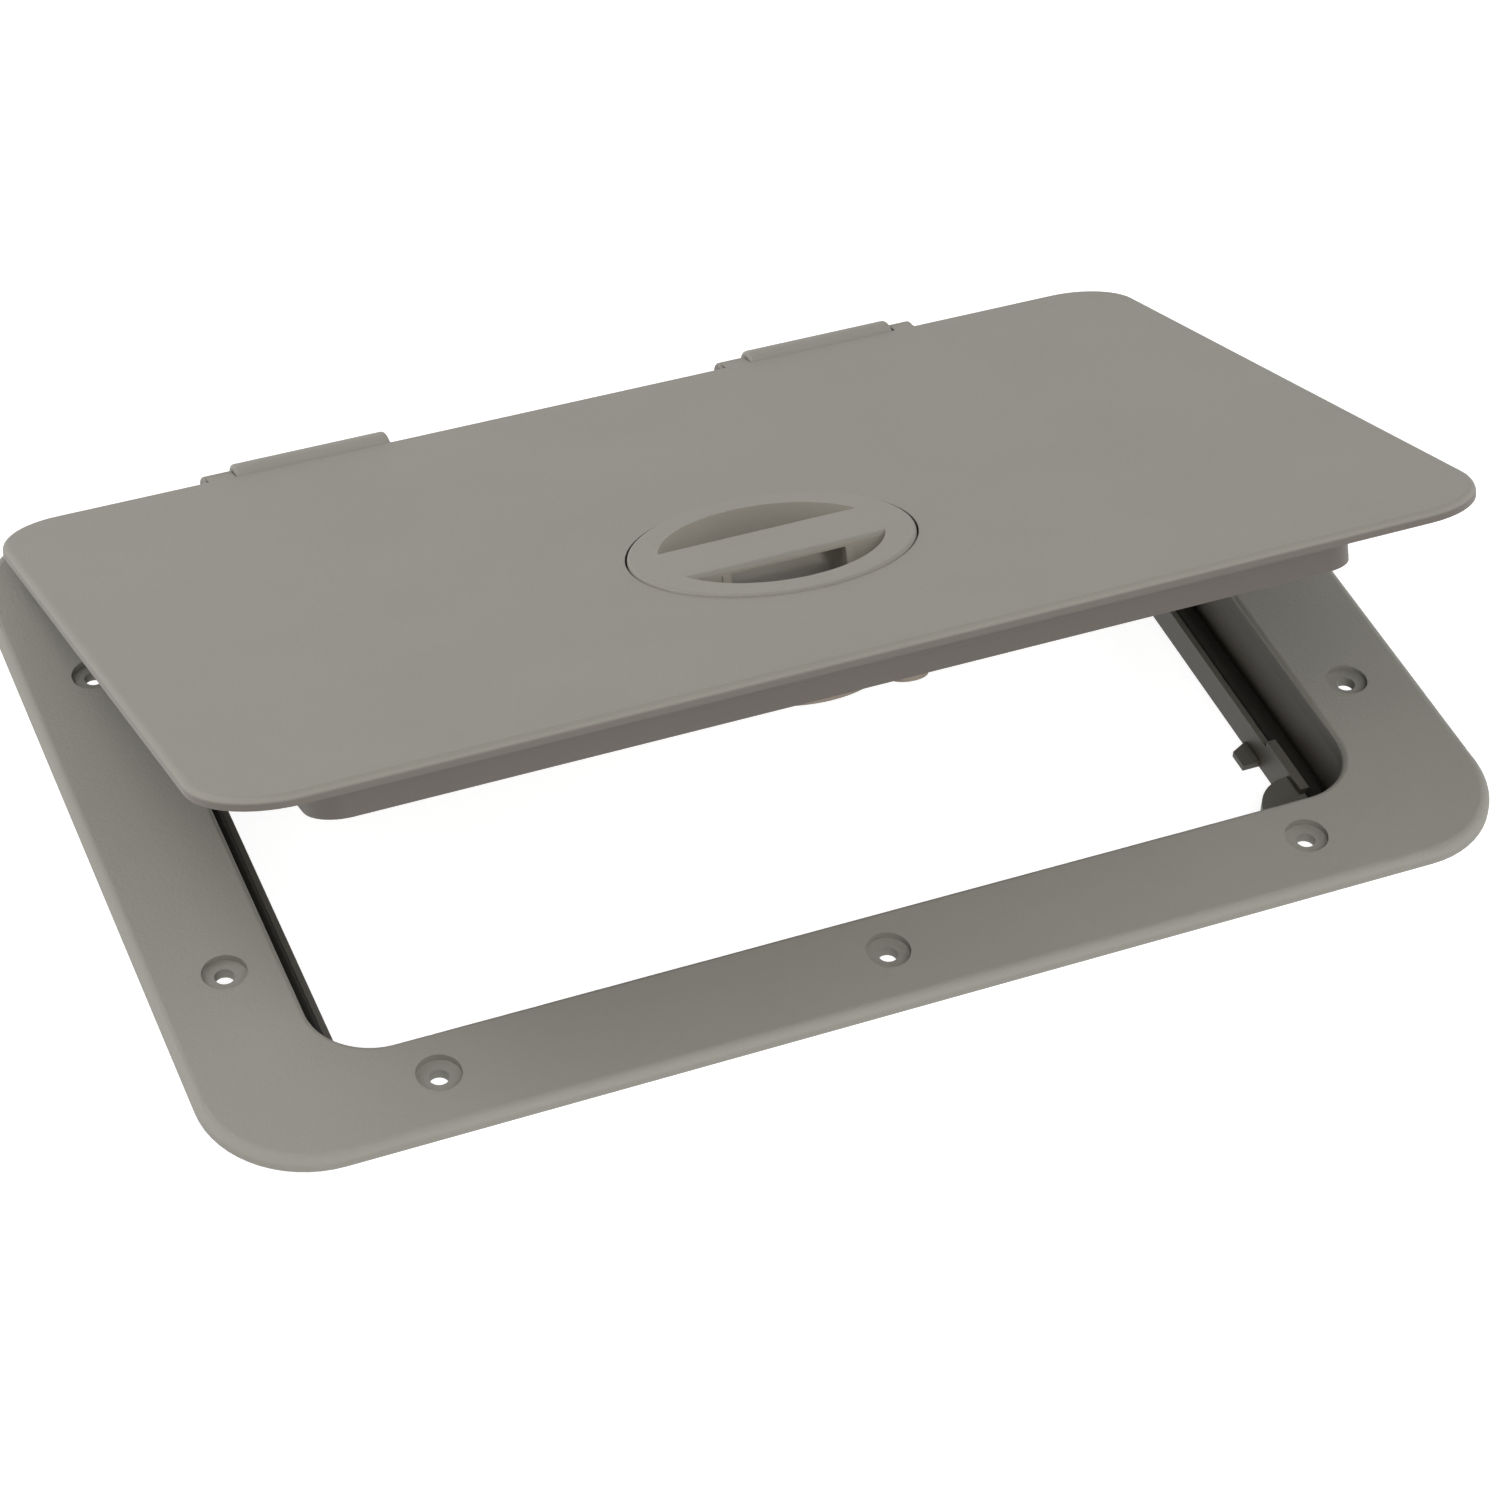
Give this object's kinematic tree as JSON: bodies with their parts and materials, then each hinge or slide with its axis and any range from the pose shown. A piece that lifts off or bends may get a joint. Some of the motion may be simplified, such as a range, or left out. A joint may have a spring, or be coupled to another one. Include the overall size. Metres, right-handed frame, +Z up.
{
  "type": "hinged deck access hatch",
  "caption": "Rectangular moulded deck hatch: screwed frame with a gasket channel, hinged lid with a skirt, and a flush round twist handle that turns a cam arm under the frame.",
  "frame": {"origin": "centre of the four corner mounting screws, in the plane of the deck, which is the flange's underside", "axes": "+X along the hinge line, -Y towards the front edge that lifts, +Z up out of the deck"},
  "size_m": [0.381, 0.2704, 0.1289],
  "materials": {
    "grey_plastic": "fine stippled moulding texture, warm grey",
    "inner_plastic": "plain moulded, darker warm grey",
    "black_rubber": "matt black rubber",
    "stainless": "plain stainless steel"
  },
  "bodies": {
    "frame_body": {"frame": "grey_plastic", "frame_gasket": "black_rubber", "hinge_pin_left": "stainless", "hinge_pin_right": "stainless", "pin_clip_left": "stainless", "pin_clip_right": "stainless"},
    "lid_body": {"lid": "grey_plastic", "latch_cup": "inner_plastic", "cup_seal": "black_rubber", "cup_screw_1": "stainless", "cup_screw_2": "stainless", "cup_screw_3": "stainless", "cup_screw_4": "stainless"},
    "latch_body": {"latch_handle": "grey_plastic", "shank_o_ring": "black_rubber", "thrust_washer": "inner_plastic", "cam_arm": "inner_plastic", "cam_washer": "stainless", "cam_screw": "stainless"}
  },
  "joints": [
    {"name": "lid_hinge", "type": "hinge", "parent": "frame_body", "child": "lid_body", "pos_m": [0, 0.13065, 0.0051], "axis": [-1, 0, 0], "range_deg": [-22.3, 82.7]},
    {"name": "handle_turn", "type": "hinge", "parent": "lid_body", "child": "latch_body", "pos_m": [0.0025, -0.01919, 0.07142], "axis": [0, -0.3795, -0.9252], "range_deg": [0, 90]}
  ]
}
